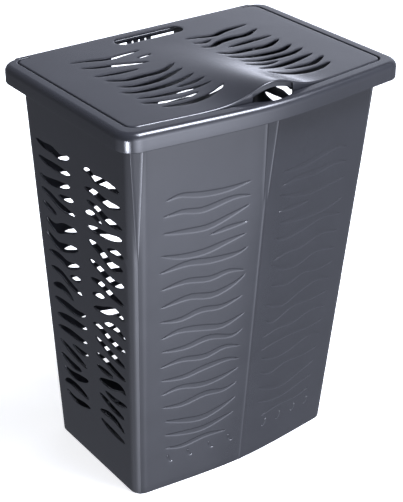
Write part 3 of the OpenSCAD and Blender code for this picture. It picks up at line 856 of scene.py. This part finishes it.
# ---------------------------------------------------------------- materials
def plastic(name, base, rough, grain, grain_mm):
    mat = bpy.data.materials.new(name)
    mat.use_nodes = True
    nt = mat.node_tree
    bsdf = nt.nodes["Principled BSDF"]
    bsdf.inputs["Metallic"].default_value = 0.0
    bsdf.inputs["IOR"].default_value = 1.5
    bsdf.inputs["Specular IOR Level"].default_value = 0.5
    bsdf.inputs["Coat Weight"].default_value = 0.2
    bsdf.inputs["Coat Roughness"].default_value = 0.1
    tc = nt.nodes.new("ShaderNodeTexCoord")
    # slow mottling of the moulded colour
    n1 = nt.nodes.new("ShaderNodeTexNoise")
    n1.inputs["Scale"].default_value = 14.0
    n1.inputs["Detail"].default_value = 3.0
    nt.links.new(tc.outputs["Object"], n1.inputs["Vector"])
    r1 = nt.nodes.new("ShaderNodeValToRGB")
    r1.color_ramp.elements[0].position = 0.3
    r1.color_ramp.elements[1].position = 0.7
    r1.color_ramp.elements[0].color = (base[0] * 0.95, base[1] * 0.95, base[2] * 0.95, 1)
    r1.color_ramp.elements[1].color = (base[0] * 1.05, base[1] * 1.05, base[2] * 1.05, 1)
    nt.links.new(n1.outputs["Fac"], r1.inputs["Fac"])
    nt.links.new(r1.outputs["Color"], bsdf.inputs["Base Color"])
    # roughness: broad patches and fine grain
    n2 = nt.nodes.new("ShaderNodeTexNoise")
    n2.inputs["Scale"].default_value = 40.0
    n2.inputs["Detail"].default_value = 5.0
    nt.links.new(tc.outputs["Object"], n2.inputs["Vector"])
    mr = nt.nodes.new("ShaderNodeMapRange")
    mr.inputs["From Min"].default_value = 0.3
    mr.inputs["From Max"].default_value = 0.7
    mr.inputs["To Min"].default_value = rough - 0.03
    mr.inputs["To Max"].default_value = rough + 0.04
    nt.links.new(n2.outputs["Fac"], mr.inputs["Value"])
    nt.links.new(mr.outputs["Result"], bsdf.inputs["Roughness"])
    # fine spark-eroded grain of the mould, and a faint slow waviness from cooling
    n3 = nt.nodes.new("ShaderNodeTexNoise")
    n3.inputs["Scale"].default_value = 1000.0 / grain_mm
    n3.inputs["Detail"].default_value = 2.0
    nt.links.new(tc.outputs["Object"], n3.inputs["Vector"])
    b1 = nt.nodes.new("ShaderNodeBump")
    b1.inputs["Strength"].default_value = grain
    b1.inputs["Distance"].default_value = 0.0002
    nt.links.new(n3.outputs["Fac"], b1.inputs["Height"])
    n4 = nt.nodes.new("ShaderNodeTexNoise")
    n4.inputs["Scale"].default_value = 16.0
    n4.inputs["Detail"].default_value = 1.0
    nt.links.new(tc.outputs["Object"], n4.inputs["Vector"])
    b2 = nt.nodes.new("ShaderNodeBump")
    b2.inputs["Strength"].default_value = 0.25
    b2.inputs["Distance"].default_value = 0.0012
    nt.links.new(n4.outputs["Fac"], b2.inputs["Height"])
    nt.links.new(b1.outputs["Normal"], b2.inputs["Normal"])
    nt.links.new(b2.outputs["Normal"], bsdf.inputs["Normal"])
    return mat


def steel(name):
    mat = bpy.data.materials.new(name)
    mat.use_nodes = True
    nt = mat.node_tree
    bsdf = nt.nodes["Principled BSDF"]
    bsdf.inputs["Metallic"].default_value = 1.0
    bsdf.inputs["Base Color"].default_value = (0.55, 0.55, 0.57, 1)
    tc = nt.nodes.new("ShaderNodeTexCoord")
    n = nt.nodes.new("ShaderNodeTexNoise")
    n.inputs["Scale"].default_value = 300.0
    nt.links.new(tc.outputs["Object"], n.inputs["Vector"])
    mr = nt.nodes.new("ShaderNodeMapRange")
    mr.inputs["To Min"].default_value = 0.25
    mr.inputs["To Max"].default_value = 0.42
    nt.links.new(n.outputs["Fac"], mr.inputs["Value"])
    nt.links.new(mr.outputs["Result"], bsdf.inputs["Roughness"])
    return mat


tub = make_tub()
blocks = corner_blocks()
lid = make_lid()
for o, a in ((tub, 38), (lid, 38), (blocks[0], 30), (blocks[1], 30)):
    shade(o, a)

tub_mat = plastic("tub_plastic", (0.027, 0.028, 0.033), 0.21, 0.16, 0.9)
lid_mat = plastic("lid_plastic", (0.028, 0.029, 0.034), 0.21, 0.16, 0.9)
pin_mat = steel("pin_steel")
for o in [tub] + blocks:
    o.data.materials.clear()
    o.data.materials.append(tub_mat)
    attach(o, "tub")
lid.data.materials.clear()
lid.data.materials.append(lid_mat)
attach(lid, "lid")
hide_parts("tub")
for b in blocks:
    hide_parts("tub")
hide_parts("lid")
for n in ("hinge_pin_left", "hinge_pin_right"):
    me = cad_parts[n].data
    me.materials.clear()
    me.materials.append(pin_mat)

# ---------------------------------------------------------------- stage and light
def stage_plane():
    me = bpy.data.meshes.new("floor")
    r = 12.0
    me.from_pydata([(-r, -r, 0), (r, -r, 0), (r, r, 0), (-r, r, 0)], [], [(0, 1, 2, 3)])
    ob = bpy.data.objects.new("floor", me)
    bpy.context.scene.collection.objects.link(ob)
    mat = bpy.data.materials.new("floor_white")
    mat.use_nodes = True
    b = mat.node_tree.nodes["Principled BSDF"]
    b.inputs["Base Color"].default_value = (0.9, 0.9, 0.9, 1)
    b.inputs["Roughness"].default_value = 0.9
    b.inputs["Emission Color"].default_value = (1, 1, 1, 1)
    b.inputs["Emission Strength"].default_value = 0.75
    me.materials.append(mat)
    ob.visible_glossy = False
    ob.visible_diffuse = False
    return ob


stage_plane()

world = bpy.data.worlds.new("studio")
bpy.context.scene.world = world
world.use_nodes = True
wn = world.node_tree
bg = wn.nodes["Background"]
tcw = wn.nodes.new("ShaderNodeTexCoord")


def lobe(direction, power, strength):
    """Soft patch of light from one direction of the room."""
    dp = wn.nodes.new("ShaderNodeVectorMath")
    dp.operation = "DOT_PRODUCT"
    v = Vector(direction).normalized()
    dp.inputs[1].default_value = v
    wn.links.new(tcw.outputs["Generated"], dp.inputs[0])
    mx = wn.nodes.new("ShaderNodeMath")
    mx.operation = "MAXIMUM"
    mx.inputs[1].default_value = 0.0
    wn.links.new(dp.outputs["Value"], mx.inputs[0])
    pw = wn.nodes.new("ShaderNodeMath")
    pw.operation = "POWER"
    pw.inputs[1].default_value = power
    wn.links.new(mx.outputs[0], pw.inputs[0])
    ml = wn.nodes.new("ShaderNodeMath")
    ml.operation = "MULTIPLY"
    ml.inputs[1].default_value = strength
    wn.links.new(pw.outputs[0], ml.inputs[0])
    return ml


base = wn.nodes.new("ShaderNodeValue")
base.outputs[0].default_value = 0.22
total = base.outputs[0]
LOBES = (
    ((0.05, -0.95, -0.28), 11.0, 7.2),      # bright sweep in front of the object
    ((0.40, -0.90, 0.10), 6.0, 0.8),        # its upper part
    ((0.75, -0.45, -0.50), 6.0, 0.32),      # weaker fill at the right front
    ((0.80, 0.60, 0.20), 14.0, 0.85),       # soft light behind on the right, seen in the lid
    ((0.68, 0.73, -0.06), 42.0, 2.0),       # low rim light from behind on the right
    ((0.37, -0.41, 0.84), 56.0, 54.0),      # soft box at the upper front
    ((-0.742, -0.469, -0.38), 130.0, 60.0), # strip light at the left front
    ((-0.65, -0.42, -0.63), 40.0, 5.0),     # its dimmer lower end
    ((-0.80, 0.05, -0.60), 9.0, 0.9),      # faint bounce from the left rear
)
for direction, power, strength in LOBES:
    l = lobe(direction, power, strength)
    ad = wn.nodes.new("ShaderNodeMath")
    ad.operation = "ADD"
    wn.links.new(total, ad.inputs[0])
    wn.links.new(l.outputs[0], ad.inputs[1])
    total = ad.outputs[0]
wn.links.new(total, bg.inputs["Strength"])
bg.inputs["Color"].default_value = (0.87, 0.91, 1.06, 1)

bpy.context.scene.view_settings.view_transform = "Standard"

bpy.context.scene.view_settings.look = "None"
